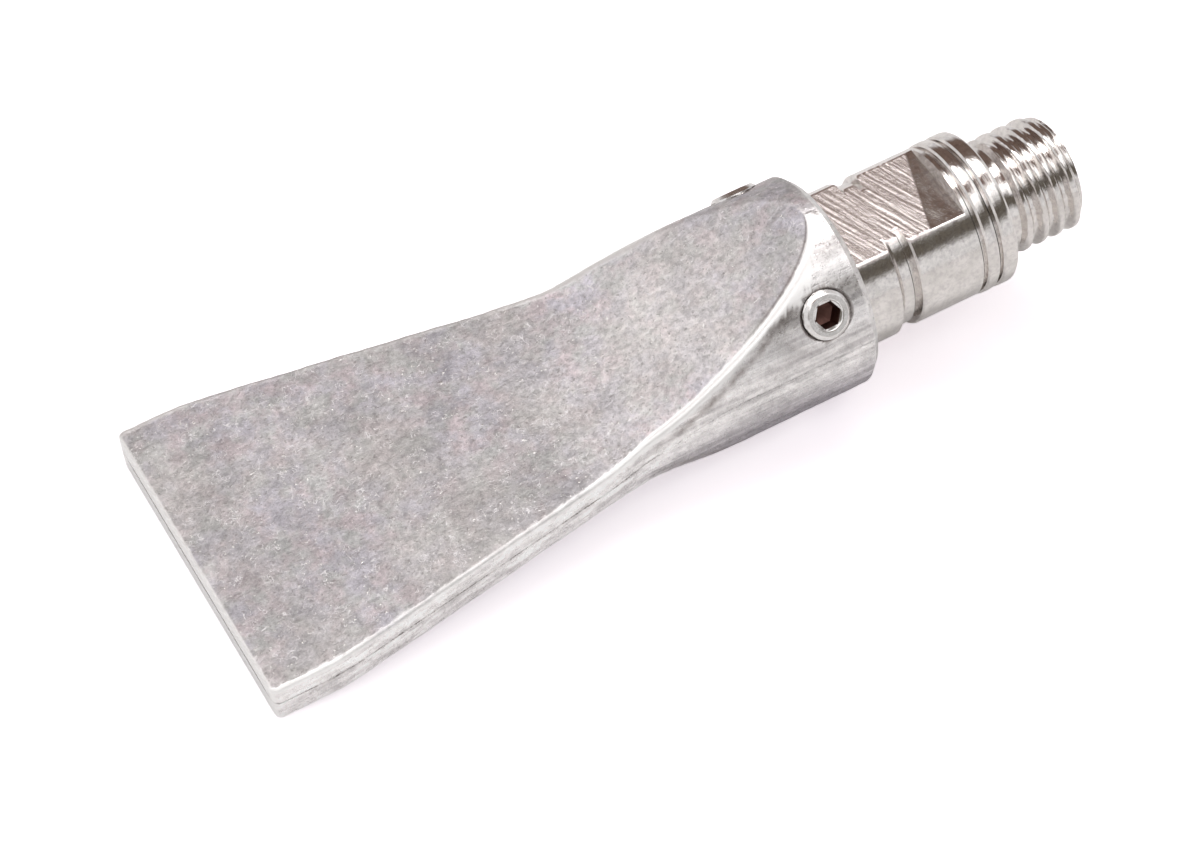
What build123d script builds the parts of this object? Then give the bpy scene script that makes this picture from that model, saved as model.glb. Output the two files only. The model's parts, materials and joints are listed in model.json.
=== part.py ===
"""Flat fan cleaning nozzle: a cast fan head clamped on a turned and threaded stem.

Millimetres, +Z up.  X is the axis of the stem.  The origin is on that axis, in the plane of
the shoulder that seats against the host.  The threaded stud points to +X, the slotted lip to
-X.  Left is -Y and right is +Y, for someone who holds the stud and looks towards the lip.
"""

import math
import os

from build123d import *

# Stud and its thread relief
STUD_RADIUS = 5.0          # major radius of the M10 x 1.5 thread
STUD_END = 7.5
STUD_CHAMFER = 0.5
NECK_RADIUS = 4.45
NECK_LENGTH = 1.6

# Turned stem, as stations along X behind the shoulder
FEED_BORE_RADIUS = 2.5
RING_RADIUS = 6.6
BARREL_RADIUS = 6.5
RING_EDGE = 0.15
FRONT_RING = (0.0, -1.35)
FRONT_GROOVE = (-1.35, -1.65)
SECOND_RING = (-1.65, -2.8)
SECOND_GROOVE = (-2.8, -3.15)
FINE_GROOVE_RADIUS = 6.1
BARREL = (-3.15, -8.9)
UNDERCUT = (-8.9, -9.4)
UNDERCUT_RADIUS = 5.7
NARROW_RING = (-9.4, -10.5)
NARROW_RING_RADIUS = 6.1
LINE_GROOVE = (-10.5, -10.7)
LINE_GROOVE_RADIUS = 5.9
COLLAR = (-10.7, -14.3)
FLAT_START = -3.6
FLAT_HEIGHT = 5.2          # from the axis to each wrench flat
FLAT_CUT = 4.5             # how much higher the flat's cutter reaches

# Spigot inside the head
SPIGOT_RADIUS = 4.97
SPIGOT_END = -26.0
SPIGOT_CHAMFER = 0.4
O_RING_STATIONS = (-21.9, -24.0)
O_RING_SECTION = 0.58      # radius of the rubber cord
O_RING_GROOVE_WIDTH = 1.5
O_RING_GROOVE_RADIUS = 3.8
O_RING_LIFT = 0.01         # clear of the groove floor

# Clamping screws and their thrust pads
CLAMP_STATION = -18.3
CLAMP_ANGLE = 37.0         # above the horizontal, one on each side
CLAMP_GROOVE_RADIUS = 4.4
CLAMP_GROOVE_WIDTH = 3.1
SCREW_RADIUS = 2.0         # M4
SCREW_INNER = 6.22         # distances from the stem axis
SCREW_OUTER = 9.3
SCREW_EDGE = 0.3
HEX_ACROSS_FLATS = 2.0
HEX_DEPTH = 1.7
PAD_RADIUS = 1.35
PAD_INNER = 4.42
PAD_GAP = 0.02             # between a screw and its pad, before it is tightened
TAPPED_HOLE_RADIUS = 2.03
PAD_HOLE_RADIUS = 1.38
TAPPED_HOLE_FLOOR = 6.15

# Head
BOSS_RADIUS = 9.0
BOSS_FACE = -14.35
BOSS_CHAMFER = 0.6
BOSS_END = -38.0           # hidden inside the fan
SOCKET_RADIUS = 5.0
SOCKET_END = -26.5
LIP_X = -69.85
LIP_HALF_WIDTH = 14.0
LIP_LAND_X = -64.1         # the lip's sides are parallel up to here
WAIST_X = -38.0
WAIST_HALF_WIDTH = 9.5
ROOT_X = -30.0
ROOT_HALF_WIDTH = 7.4
SIDE_BLEND = 20.0
LIP_CORNER = 0.6
FAN_HALF_THICKNESS = 1.85
RAMP_TOP_X = -16.1         # where the ramps leave the boss
RAMP_ANGLE = 20.0
RAMP_BLEND = 32.0
RIM_EDGE = 0.35            # rounding between the flat faces and the sides
RIM_LOW_Z = 1.8            # edges further than this from the mid plane are rounded
RIM_END_X = -15.4          # up to just behind the chamfer of the boss

# Duct inside the head
DUCT_INLET_RADIUS = 3.5
DUCT_THROAT_X = -36.0
DUCT_THROAT_WIDTH = 13.0
DUCT_THROAT_HEIGHT = 1.7
GALLERY_WIDTH = 10.5
GALLERY_HEIGHT = 1.1
SLOT_WIDTH = 24.0
SLOT_HEIGHT = 0.4
DUCT_OVERLAP = 0.5         # the duct starts this far inside the socket

# Seam between the two castings
SEAM_FAN_Z = 0.2
SEAM_BOSS_Z = 1.8
SEAM_STEP = (-28.0, -37.0)
SEAM_GAP = 0.04
DOWEL_RADIUS = 1.0
DOWEL_CLEARANCE = 0.02
DOWEL_HALF_LENGTH = 1.1
DOWEL_X = -37.5
DOWEL_Y = 7.9

FAR = 60.0                 # larger than the part, for cutting tools
OVERCUT = 1.0              # how far a cutting tool runs past a face
NEAR = 1.0                 # outline corners closer to a station than this belong to it


def disc(stations, radius, edge=0.0):
    """A cylinder on the X axis between two stations, with both its edges chamfered."""
    start, end = max(stations), min(stations)
    middle = Location(((start + end) / 2, 0, 0), (0, 90, 0))
    body = middle * Cylinder(radius, start - end)
    if edge:
        body = chamfer(body.edges().filter_by(GeomType.CIRCLE), edge)
    return body


def ring_groove(centre, width, floor_radius, outer_radius):
    """The ring of material that a groove removes from a shaft on the X axis."""
    stations = (centre - width / 2, centre + width / 2)
    return disc(stations, outer_radius + OVERCUT) - disc(stations, floor_radius)


def clamp_frame(side):
    """The frame of one clamping screw: Z points outwards along the screw.  side is -1 or 1."""
    tilt = math.radians(CLAMP_ANGLE)
    outwards = (0, side * math.cos(tilt), math.sin(tilt))
    return Plane(origin=(CLAMP_STATION, 0, 0), x_dir=(1, 0, 0), z_dir=outwards)


def post(frame, inner, outer, radius):
    """A cylinder along the frame's Z axis, between two distances from the stem axis."""
    return frame * Pos(0, 0, (inner + outer) / 2) * Cylinder(radius, outer - inner)


def stem_adapter():
    """The stud, its relief, the turned rings, the wrench flats and the spigot, in one bar."""
    stud = disc((STUD_END, NECK_LENGTH), STUD_RADIUS, STUD_CHAMFER)
    bar = stud + disc((NECK_LENGTH, 0), NECK_RADIUS)
    bar += disc(FRONT_RING, RING_RADIUS, RING_EDGE)
    bar += disc(FRONT_GROOVE, FINE_GROOVE_RADIUS)
    bar += disc(SECOND_RING, RING_RADIUS, RING_EDGE)
    bar += disc(SECOND_GROOVE, FINE_GROOVE_RADIUS)
    bar += disc(BARREL, BARREL_RADIUS, RING_EDGE)
    bar += disc(UNDERCUT, UNDERCUT_RADIUS)
    bar += disc(NARROW_RING, NARROW_RING_RADIUS, RING_EDGE)
    bar += disc(LINE_GROOVE, LINE_GROOVE_RADIUS)
    bar += disc(COLLAR, RING_RADIUS, RING_EDGE)
    bar += disc((COLLAR[1], SPIGOT_END), SPIGOT_RADIUS, SPIGOT_CHAMFER)
    flat_length = FLAT_START - COLLAR[1]
    for side in (-1, 1):
        place = Pos((FLAT_START + COLLAR[1]) / 2, 0, side * (FLAT_HEIGHT + FLAT_CUT / 2))
        bar -= place * Box(flat_length, FAR, FLAT_CUT)
    bar -= ring_groove(CLAMP_STATION, CLAMP_GROOVE_WIDTH, CLAMP_GROOVE_RADIUS, SPIGOT_RADIUS)
    for station in O_RING_STATIONS:
        bar -= ring_groove(station, O_RING_GROOVE_WIDTH, O_RING_GROOVE_RADIUS, SPIGOT_RADIUS)
    return bar - disc((STUD_END + OVERCUT, SPIGOT_END - OVERCUT), FEED_BORE_RADIUS)


def o_ring(station):
    """A rubber ring in its groove on the spigot, drawn just clear of the socket wall."""
    centre_radius = O_RING_GROOVE_RADIUS + O_RING_SECTION + O_RING_LIFT
    return Location((station, 0, 0), (0, 90, 0)) * Torus(centre_radius, O_RING_SECTION)


def ramp_envelope():
    """The side profile of the head: two ramps that fall from the boss to the flat fan."""
    slope = math.tan(math.radians(RAMP_ANGLE))
    foot_x = RAMP_TOP_X - (BOSS_RADIUS - FAN_HALF_THICKNESS) / slope
    front = BOSS_FACE + OVERCUT
    top_z = BOSS_RADIUS + slope * (front - RAMP_TOP_X)
    corners = [(front, top_z), (foot_x, FAN_HALF_THICKNESS), (LIP_X - OVERCUT, FAN_HALF_THICKNESS)]
    mirrored = [(x, -z) for x, z in reversed(corners)]
    profile = Plane.XZ * make_face(Polyline(*corners, *mirrored, close=True))
    feet = [v for v in profile.vertices() if abs(v.X - foot_x) < 0.01]
    profile = fillet(feet, RAMP_BLEND)
    return extrude(profile, FAR, both=True)


def across(x, z):
    """A sketch plane square to the X axis, with its own X along the part's Y."""
    return Plane(origin=(x, 0, z), x_dir=(0, 1, 0), z_dir=(1, 0, 0))


def fan_plan():
    """The plan outline of the fan: straight flaring sides and a short parallel lip."""
    right = [(ROOT_X, ROOT_HALF_WIDTH), (WAIST_X, WAIST_HALF_WIDTH)]
    right += [(LIP_LAND_X, LIP_HALF_WIDTH), (LIP_X, LIP_HALF_WIDTH)]
    left = [(x, -y) for x, y in reversed(right)]
    plan = make_face(Polyline(*right, *left, close=True))
    bends = [v for v in plan.vertices() if LIP_X + NEAR < v.X < ROOT_X - NEAR]
    plan = fillet(bends, SIDE_BLEND)
    corners = [v for v in plan.vertices() if v.X < LIP_X + NEAR]
    return fillet(corners, LIP_CORNER)


def duct():
    """The passage from the socket to the slot: it flattens quickly, then widens slowly."""
    inlet = across(SOCKET_END + DUCT_OVERLAP, 0) * Circle(DUCT_INLET_RADIUS)
    throat = across(DUCT_THROAT_X, SEAM_FAN_Z) * Ellipse(DUCT_THROAT_WIDTH / 2, DUCT_THROAT_HEIGHT / 2)
    gallery = across(DUCT_THROAT_X + OVERCUT, SEAM_FAN_Z) * Rectangle(GALLERY_WIDTH, GALLERY_HEIGHT)
    slot = across(LIP_X - OVERCUT, SEAM_FAN_Z) * Rectangle(SLOT_WIDTH, SLOT_HEIGHT)
    return loft([inlet, throat]) + loft([gallery, slot])


def head():
    """The whole fan head, before it is split into its two castings."""
    boss = chamfer(disc((BOSS_FACE, BOSS_END), BOSS_RADIUS).edges().group_by(Axis.X)[-1], BOSS_CHAMFER)
    fan = extrude(fan_plan(), BOSS_RADIUS, both=True)
    body = (boss + fan) & ramp_envelope()
    rims = [e for e in body.edges() if e.center().X < RIM_END_X and abs(e.center().Z) > RIM_LOW_Z]
    body = fillet(rims, RIM_EDGE)
    body -= disc((BOSS_FACE + OVERCUT, SOCKET_END), SOCKET_RADIUS)
    body -= duct()
    for side in (-1, 1):
        frame = clamp_frame(side)
        body -= post(frame, TAPPED_HOLE_FLOOR, BOSS_RADIUS + OVERCUT, TAPPED_HOLE_RADIUS)
        body -= post(frame, PAD_INNER, TAPPED_HOLE_FLOOR, PAD_HOLE_RADIUS)
        body -= dowel_pin(side, DOWEL_CLEARANCE)
    return body


def below_seam(gap):
    """The space under the seam, which steps up from the fan to the boss."""
    fan_z = SEAM_FAN_Z + gap
    boss_z = SEAM_BOSS_Z + gap
    line = [(FAR, boss_z), (SEAM_STEP[0], boss_z), (SEAM_STEP[1], fan_z), (-2 * FAR, fan_z)]
    box = [(-2 * FAR, -FAR), (FAR, -FAR)]
    return extrude(Plane.XZ * make_face(Polyline(*line, *box, close=True)), FAR, both=True)


def dowel_pin(side, clearance=0.0):
    """A short pin that lines up the two castings beside the duct."""
    radius = DOWEL_RADIUS + clearance
    length = 2 * (DOWEL_HALF_LENGTH + clearance)
    return Pos(DOWEL_X, side * DOWEL_Y, SEAM_FAN_Z) * Cylinder(radius, length)


def set_screw(side):
    """A headless M4 screw with a hex socket, standing just proud of the boss."""
    frame = clamp_frame(side)
    length = SCREW_OUTER - SCREW_INNER
    blank = chamfer(Cylinder(SCREW_RADIUS, length).edges().filter_by(GeomType.CIRCLE), SCREW_EDGE)
    corner_radius = HEX_ACROSS_FLATS / math.sqrt(3)
    socket = extrude(RegularPolygon(corner_radius, 6), -HEX_DEPTH)
    screw = blank - Pos(0, 0, length / 2) * socket
    return frame * Pos(0, 0, (SCREW_INNER + SCREW_OUTER) / 2) * screw


def thrust_pad(side):
    """A brass plug that the screw presses into the spigot's groove."""
    return post(clamp_frame(side), PAD_INNER, SCREW_INNER - PAD_GAP, PAD_RADIUS)


def main():
    whole_head = head()
    inner_o_ring, outer_o_ring = (o_ring(station) for station in reversed(O_RING_STATIONS))
    parts = {
        "stem_adapter": stem_adapter(),
        "inner_o_ring": inner_o_ring,
        "outer_o_ring": outer_o_ring,
        "upper_shell": whole_head - below_seam(SEAM_GAP / 2),
        "lower_shell": whole_head & below_seam(-SEAM_GAP / 2),
        "left_dowel_pin": dowel_pin(-1),
        "right_dowel_pin": dowel_pin(1),
        "left_set_screw": set_screw(-1),
        "right_set_screw": set_screw(1),
        "left_thrust_pad": thrust_pad(-1),
        "right_thrust_pad": thrust_pad(1),
    }
    os.makedirs("parts", exist_ok=True)
    for name, shape in parts.items():
        export_step(shape, f"parts/{name}.step")


main()
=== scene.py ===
"""Looks for the flat fan cleaning nozzle: cast head, turned stem, set screws, light and camera.

Shapes are worked out in millimetres in the CAD frame and stored in metres.  X is the stem's axis,
the stud points to +X, the lip to -X, and +Z is up.
"""

import json
import math
from types import SimpleNamespace

import bpy
import numpy as np
from mathutils import Matrix, Vector, noise

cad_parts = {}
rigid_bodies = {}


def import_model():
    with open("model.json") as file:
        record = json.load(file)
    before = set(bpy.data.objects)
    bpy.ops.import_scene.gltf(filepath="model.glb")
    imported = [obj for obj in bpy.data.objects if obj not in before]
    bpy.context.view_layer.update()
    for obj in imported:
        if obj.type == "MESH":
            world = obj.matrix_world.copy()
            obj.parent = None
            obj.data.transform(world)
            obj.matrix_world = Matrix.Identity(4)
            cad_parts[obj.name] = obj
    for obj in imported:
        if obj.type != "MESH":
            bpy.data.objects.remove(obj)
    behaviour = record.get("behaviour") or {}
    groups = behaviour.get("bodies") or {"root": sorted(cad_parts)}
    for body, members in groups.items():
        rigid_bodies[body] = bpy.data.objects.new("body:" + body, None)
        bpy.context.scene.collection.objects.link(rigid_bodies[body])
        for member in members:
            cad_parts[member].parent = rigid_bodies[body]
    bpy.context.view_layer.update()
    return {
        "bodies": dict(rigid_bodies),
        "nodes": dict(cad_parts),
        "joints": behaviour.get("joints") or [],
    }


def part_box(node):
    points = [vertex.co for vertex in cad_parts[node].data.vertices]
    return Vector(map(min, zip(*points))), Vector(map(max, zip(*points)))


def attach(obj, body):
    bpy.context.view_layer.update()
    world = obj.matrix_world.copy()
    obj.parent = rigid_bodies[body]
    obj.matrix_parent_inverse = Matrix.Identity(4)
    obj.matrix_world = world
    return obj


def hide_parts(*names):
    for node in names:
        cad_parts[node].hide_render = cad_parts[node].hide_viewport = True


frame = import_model()
MM = 0.001


def corners_mm(node):
    """Lowest and highest corner of a CAD node, in millimetres."""
    return [np.array(corner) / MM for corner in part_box(node)]


UPPER_LOW, UPPER_HIGH = corners_mm("upper_shell")
STEM_LOW, STEM_HIGH = corners_mm("stem_adapter")
JOINTS = {joint["name"]: joint for joint in frame["joints"]}

# Head, from the frame
LIP_X = UPPER_LOW[0]
BOSS_FACE = UPPER_HIGH[0]
BOSS_RADIUS = UPPER_HIGH[2]
LIP_HALF_WIDTH = UPPER_HIGH[1]

# Head, the shapes between those limits
FAN_HALF_THICKNESS = 1.85
RAMP_TOP_X = BOSS_FACE - 1.75
RAMP_ANGLE = math.radians(20)
RAMP_BLEND = 32.0
PLAN_KNOTS = [(LIP_X, 1.0), (-64.1, 1.0), (-38.0, 0.679), (-30.0, 0.529), (-22.0, 0.143), (-14.0, 0.0)]
PLAN_BLEND = 1.7
LIP_CORNER = 0.6
LIP_ROUND = 0.16
CREST_HALF_WIDTH = 0.5     # the rim line runs on along the boss as a strip this wide
RIM_ROUND = 0.40
RIM_WORN_X = -33.0         # the rims are worn widest round this station
RIM_WORN_LENGTH = 10.0
BOSS_CHAMFER = 0.6
SEAM_KNOTS = [(-37.0, 0.2), (-28.0, 1.8)]
SEAM_HALF_GAP = 0.02
SEAM_BEVEL = 0.06

# Points round one half of the head's section
TOP_POINTS = 56
RIM_POINTS = 7
SIDE_POINTS = 20

# Hollow of the head: station, half width, half height, centre height, squareness
SOCKET_RADIUS = 5.0
SOCKET_END = -26.5
HOLLOW_KNOTS = [
    (-26.55, 3.5, 3.5, 0.0, 2.0),
    (-36.0, 6.5, 0.85, 0.2, 2.6),
    (-38.0, 5.5, 0.55, 0.2, 8.0),
    (LIP_X, 12.0, 0.2, 0.2, 12.0),
]

# Stem, from the spigot's end to the stud's end
CLAMP_STATION = JOINTS["left_screw_turn"]["pos_m"][0] / MM
SPIGOT_END = STEM_LOW[0]
SPIGOT_RADIUS = 4.97
# Each groove's station, half width and floor radius: two O-ring grooves and the one that the pads bear in
SPIGOT_GROOVES = [(-24.0, 0.75, 3.8), (-21.9, 0.75, 3.8), (CLAMP_STATION, 1.55, 4.4)]
COLLAR_END = BOSS_FACE + 0.05
RING_RADIUS = 6.6
GROOVES_START = -10.7
LAND_RADIUS = 6.1
GROOVES_END = -8.9
BARREL_RADIUS = 6.5
STEM_EDGE = 0.15
RELIEF_RADIUS = 4.45
STUD_RADIUS = 5.0
STUD_END = STEM_HIGH[0]
FEED_BORE_RADIUS = 2.5
THREAD_PITCH = 1.5
THREAD_DEPTH = 0.62
THREAD_START = 1.6
FLAT_START = -3.6
FLAT_HEIGHT = 5.2
FACET_DROP = 0.05
MARK_ANGLE = math.radians(20)      # the tool marks run this far off square to the stem's axis
MARK_DEPTH = 0.015
STEM_COLUMNS = 448
HIDDEN_STEP, SHOWN_STEP, BORE_STEP = 0.5, 0.09, 0.8    # spacing of the stem's rows

# Clamping screws
SCREW_RADIUS = 2.0
SCREW_INNER = 6.22
SCREW_OUTER = 9.3
SCREW_PITCH = 0.7
SCREW_THREAD_DEPTH = 0.36
HEX_ACROSS_FLATS = 2.0
HEX_DEPTH = 1.7
TAPPED_HOLE_RADIUS = 2.03
TAPPED_HOLE_FLOOR = 6.15
PAD_HOLE_RADIUS = 1.38
PAD_INNER = 4.42
COUNTERSINK = 0.3
SCREW_COLUMNS = 240
HOLE_COLUMNS = 72

# Studio
FLOOR_LIFT = 0.54          # light that only the camera sees
FLOOR_HALF_SIZE = 1.5      # metres
FLOOR_GAP = 0.02
KEY_PLACE, KEY_TARGET, KEY_SIZE, KEY_POWER = (90, 90, 370), (-20, 0, 0), (170, 150), 0.30
CAMERA_PLACE, CAMERA_TARGET = (-105.6, -150.2, 213.0), (-36.55, -3.3, 0.0)
CAMERA_LENS, CAMERA_SENSOR = 103.4, 36.0
CAMERA_ROLL = math.radians(-4.906)

# The light tent: its two tones, and each opening's edges (axis of the direction, from, to) and colour
TENT_SIDE = (0.85, 0.85, 0.86, 1)
TENT_TOP = (2.1, 2.1, 2.1, 1)
TENT_OPENINGS = [
    ([("Z", 0.04, 0.20), ("Z", 0.90, 0.84), ("Y", 0.30, 0.44), ("X", -0.52, -0.30)], (0.17, 0.12, 0.10, 1)),
    ([("Z", 0.26, 0.40), ("Z", 0.74, 0.64), ("Y", -0.22, -0.42)], (0.13, 0.115, 0.095, 1)),
    ([("Z", 0.86, 0.92), ("Y", -0.36, -0.26), ("Y", 0.14, 0.06)], (0.22, 0.15, 0.13, 1)),
]


# ---------------------------------------------------------------- mesh helpers


def make_object(name, points_mm, faces, sharp_angle=30.0):
    """A mesh object from points in millimetres, smooth except at edges sharper than the angle."""
    mesh = bpy.data.meshes.new(name)
    mesh.from_pydata((np.asarray(points_mm) * MM).tolist(), [], [list(map(int, f)) for f in faces])
    mesh.validate()
    mesh.shade_smooth()
    mesh.set_sharp_from_angle(angle=math.radians(sharp_angle))
    made = bpy.data.objects.new(name, mesh)
    bpy.context.scene.collection.objects.link(made)
    return made


def grid_faces(rows, columns, wrap_rows=False, wrap_columns=False, flip=False):
    """Quads between neighbouring points of a grid stored row by row."""
    row = np.arange(rows if wrap_rows else rows - 1)[:, None]
    column = np.arange(columns if wrap_columns else columns - 1)[None, :]
    next_row = (row + 1) % rows
    next_column = (column + 1) % columns
    quad = [row * columns + column, row * columns + next_column,
            next_row * columns + next_column, next_row * columns + column]
    shape = np.broadcast_shapes(row.shape, column.shape)
    faces = np.stack([np.broadcast_to(corner, shape) for corner in quad], -1)
    faces = faces.reshape(-1, 4)
    return faces[:, ::-1] if flip else faces


def resample(outline, step):
    """Points along a polyline, keeping its corners, with no gap wider than the step."""
    points = [outline[0]]
    for start, end in zip(outline[:-1], outline[1:]):
        start, end = np.array(start, float), np.array(end, float)
        count = max(1, math.ceil(np.linalg.norm(end - start) / step))
        points += [tuple(start + (end - start) * k / count) for k in range(1, count + 1)]
    return np.array(points)


def smooth_step(low, high, value):
    """0 below low, 1 above high, and a smooth turn between them."""
    share = np.clip((value - low) / (high - low), 0, 1)
    return share * share * (3 - 2 * share)


def smooth_max(a, b, blend):
    """The larger of two values, with a rounded change-over."""
    return 0.5 * (a + b + np.sqrt((a - b) ** 2 + blend**2))


def waves(phase):
    """A bounded, irregular wave made of three sines, for hand-finished edges."""
    return (np.sin(phase) + 0.6 * np.sin(2.7 * phase + 1.3) + 0.4 * np.sin(6.1 * phase + 0.4)) / 2.0


def bell(value, middle, width):
    """1 at the middle, falling to 0 on both sides."""
    return np.exp(-(((value - middle) / width) ** 2))


# ---------------------------------------------------------------- cast head


def ramp_height(x):
    """Height of the head's flat faces over its mid plane: fan, hollow blend, ramp."""
    foot = RAMP_TOP_X - (BOSS_RADIUS - FAN_HALF_THICKNESS) / math.tan(RAMP_ANGLE)
    start = foot - RAMP_BLEND * math.tan(RAMP_ANGLE / 2)
    arc_end = RAMP_BLEND * math.sin(RAMP_ANGLE)
    along = np.clip(x - start, 0, arc_end)
    height = FAN_HALF_THICKNESS + RAMP_BLEND - np.sqrt(RAMP_BLEND**2 - along**2)
    height += np.maximum(x - start - arc_end, 0) * math.tan(RAMP_ANGLE)
    worn_end = LIP_X + LIP_ROUND
    return height - edge_round(worn_end - x, LIP_ROUND)


def edge_round(past, radius):
    """How far a rounded edge falls back once a point is past the start of its radius."""
    past = np.clip(past, 0, radius)
    return radius - np.sqrt(np.maximum(radius**2 - past**2, 0))


def plan_half_width(x):
    """Half width of the fan in plan, with its bends blended."""
    knots = sorted(PLAN_KNOTS)
    stations = [k[0] for k in knots]
    widths = [k[1] * LIP_HALF_WIDTH for k in knots]
    shifts = np.linspace(-PLAN_BLEND, PLAN_BLEND, 9)
    width = np.mean([np.interp(x + shift, stations, widths) for shift in shifts], axis=0)
    return width - edge_round(LIP_X + LIP_CORNER - x, LIP_CORNER)


def seam_height(x):
    """Height of the seam between the two castings."""
    stations, heights = zip(*SEAM_KNOTS)
    shifts = np.linspace(-0.8, 0.8, 5)
    return np.mean([np.interp(x + shift, stations, heights) for shift in shifts], axis=0)


def rim_wear(x):
    """1 where the rims are worn widest, fading to 0 towards both ends."""
    return bell(x, RIM_WORN_X, RIM_WORN_LENGTH)


def boss_radius(x):
    """Radius of the boss, smaller over the chamfer at its face."""
    return BOSS_RADIUS - np.clip(x - (BOSS_FACE - BOSS_CHAMFER), 0, BOSS_CHAMFER)


def head_stations():
    """Stations along X, close together at both ends."""
    chamfer_start = BOSS_FACE - BOSS_CHAMFER
    spans = [
        (LIP_X, LIP_X + 0.7, 13), (LIP_X + 0.7, -40, 120), (-40, SOCKET_END - 0.05, 60),
        (SOCKET_END, -16.6, 46), (-16.6, chamfer_start, 14), (chamfer_start, BOSS_FACE, 6),
    ]
    return np.unique(np.concatenate([np.linspace(*span) for span in spans]))


def outer_half(x, side):
    """One half of the outer section at every station, from the mid line to the seam.

    side is 1 for the upper casting and -1 for the lower one.  Returns y and z arrays.
    """
    radius = boss_radius(x)
    width = plan_half_width(x)
    limit = np.sqrt(radius**2 - CREST_HALF_WIDTH**2)
    corner_z = np.minimum(ramp_height(x), limit)
    corner_angle = np.arcsin(corner_z / radius)
    hand = RIM_ROUND * (1 + 0.22 * waves(x * 0.9 + side) + 0.6 * rim_wear(x))
    corner_y = smooth_max(width, radius * np.cos(corner_angle), 0.2)
    take = np.minimum(hand, corner_y * 0.45)
    start_angle = corner_angle - take / radius
    start = np.stack([smooth_max(width, radius * np.cos(start_angle), 0.2), radius * np.sin(start_angle)])
    top_y = corner_y - take
    ceiling = ramp_height(x)

    def top_z(y):
        return np.minimum(ceiling, np.sqrt(np.maximum(radius**2 - np.minimum(y, radius) ** 2, corner_z**2)))

    rows = []
    for share in np.linspace(0, 1, TOP_POINTS)[:-1]:
        rows.append((top_y * share, top_z(top_y * share)))
    for t in np.linspace(0, 1, RIM_POINTS)[:-1]:
        a, b, c = (1 - t) ** 2, 2 * t * (1 - t), t * t
        rows.append((a * top_y + b * corner_y + c * start[0], a * top_z(top_y) + b * corner_z + c * start[1]))
    seam = seam_height(x) * side
    bevel_angle = np.arcsin((seam + SEAM_BEVEL) / radius)
    for share in np.linspace(0, 1, SIDE_POINTS):
        angle = start_angle + (bevel_angle - start_angle) * share
        rows.append((smooth_max(width, radius * np.cos(angle), 0.2), radius * np.sin(angle)))
    seam_y = smooth_max(width, radius * np.cos(np.arcsin(seam / radius)), 0.2)
    rows.append((seam_y - SEAM_BEVEL * 0.7, seam + SEAM_HALF_GAP))
    y = np.stack([row[0] for row in rows], 1)
    z = np.stack([row[1] for row in rows], 1) * side
    return y, z


def hollow_section(x, side, count):
    """The section of the socket and the duct at every station, from the right seam to the left."""
    stations, half_width, half_height, centre, power = (np.array(v)[::-1] for v in zip(*HOLLOW_KNOTS))
    in_socket = x > SOCKET_END - 0.02
    mouth = np.clip(x - (BOSS_FACE - 0.3), 0, 0.3)
    a = np.where(in_socket, SOCKET_RADIUS + mouth, np.interp(x, stations, half_width))
    b = np.where(in_socket, SOCKET_RADIUS + mouth, np.interp(x, stations, half_height))
    middle = np.where(in_socket, 0.0, np.interp(x, stations, centre))
    squareness = np.where(in_socket, 2.0, np.interp(x, stations, power))
    level = np.clip((seam_height(x) + side * SEAM_HALF_GAP - middle) / b, -0.95, 0.95)
    start = np.arcsin(level)
    sweep = (math.pi - 2 * start) if side > 0 else -(math.pi + 2 * start)
    share = np.linspace(0, 1, count)[None, :]
    angle = start[:, None] + sweep[:, None] * share
    shape = (2 / squareness)[:, None]
    y = a[:, None] * np.sign(np.cos(angle)) * np.abs(np.cos(angle)) ** shape
    z = middle[:, None] + b[:, None] * np.sign(np.sin(angle)) * np.abs(np.sin(angle)) ** shape
    seam_z = (seam_height(x) + side * SEAM_HALF_GAP)[:, None]
    z = np.maximum(z, seam_z) if side > 0 else np.minimum(z, seam_z)
    return y, z


def casting(name, side):
    """One of the two castings of the head, closed, with its half of the socket and duct."""
    x = head_stations()
    half_y, half_z = outer_half(x, side)
    outer_y = np.concatenate([half_y[:, ::-1], -half_y[:, 1:]], 1)
    outer_z = np.concatenate([half_z[:, ::-1], half_z[:, 1:]], 1)
    count = outer_y.shape[1]
    inner_y, inner_z = hollow_section(x, side, count)
    x_grid = np.repeat(x[:, None], count, 1)
    outer = np.stack([x_grid, outer_y, outer_z], -1)
    inner = np.stack([x_grid, inner_y, inner_z], -1)
    ring = np.concatenate([outer, inner[:, ::-1]], 1)
    rows, columns = ring.shape[:2]
    faces = list(grid_faces(rows, columns, wrap_columns=True, flip=side > 0))
    for row, flip in ((0, side < 0), (rows - 1, side > 0)):
        near = row * columns + np.arange(count)
        far = row * columns + columns - 1 - np.arange(count)
        cap = np.stack([near[:-1], near[1:], far[1:], far[:-1]], -1)
        faces += list(cap[:, ::-1] if flip else cap)
    return make_object(name, ring.reshape(-1, 3), faces)


# ---------------------------------------------------------------- round parts


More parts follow.
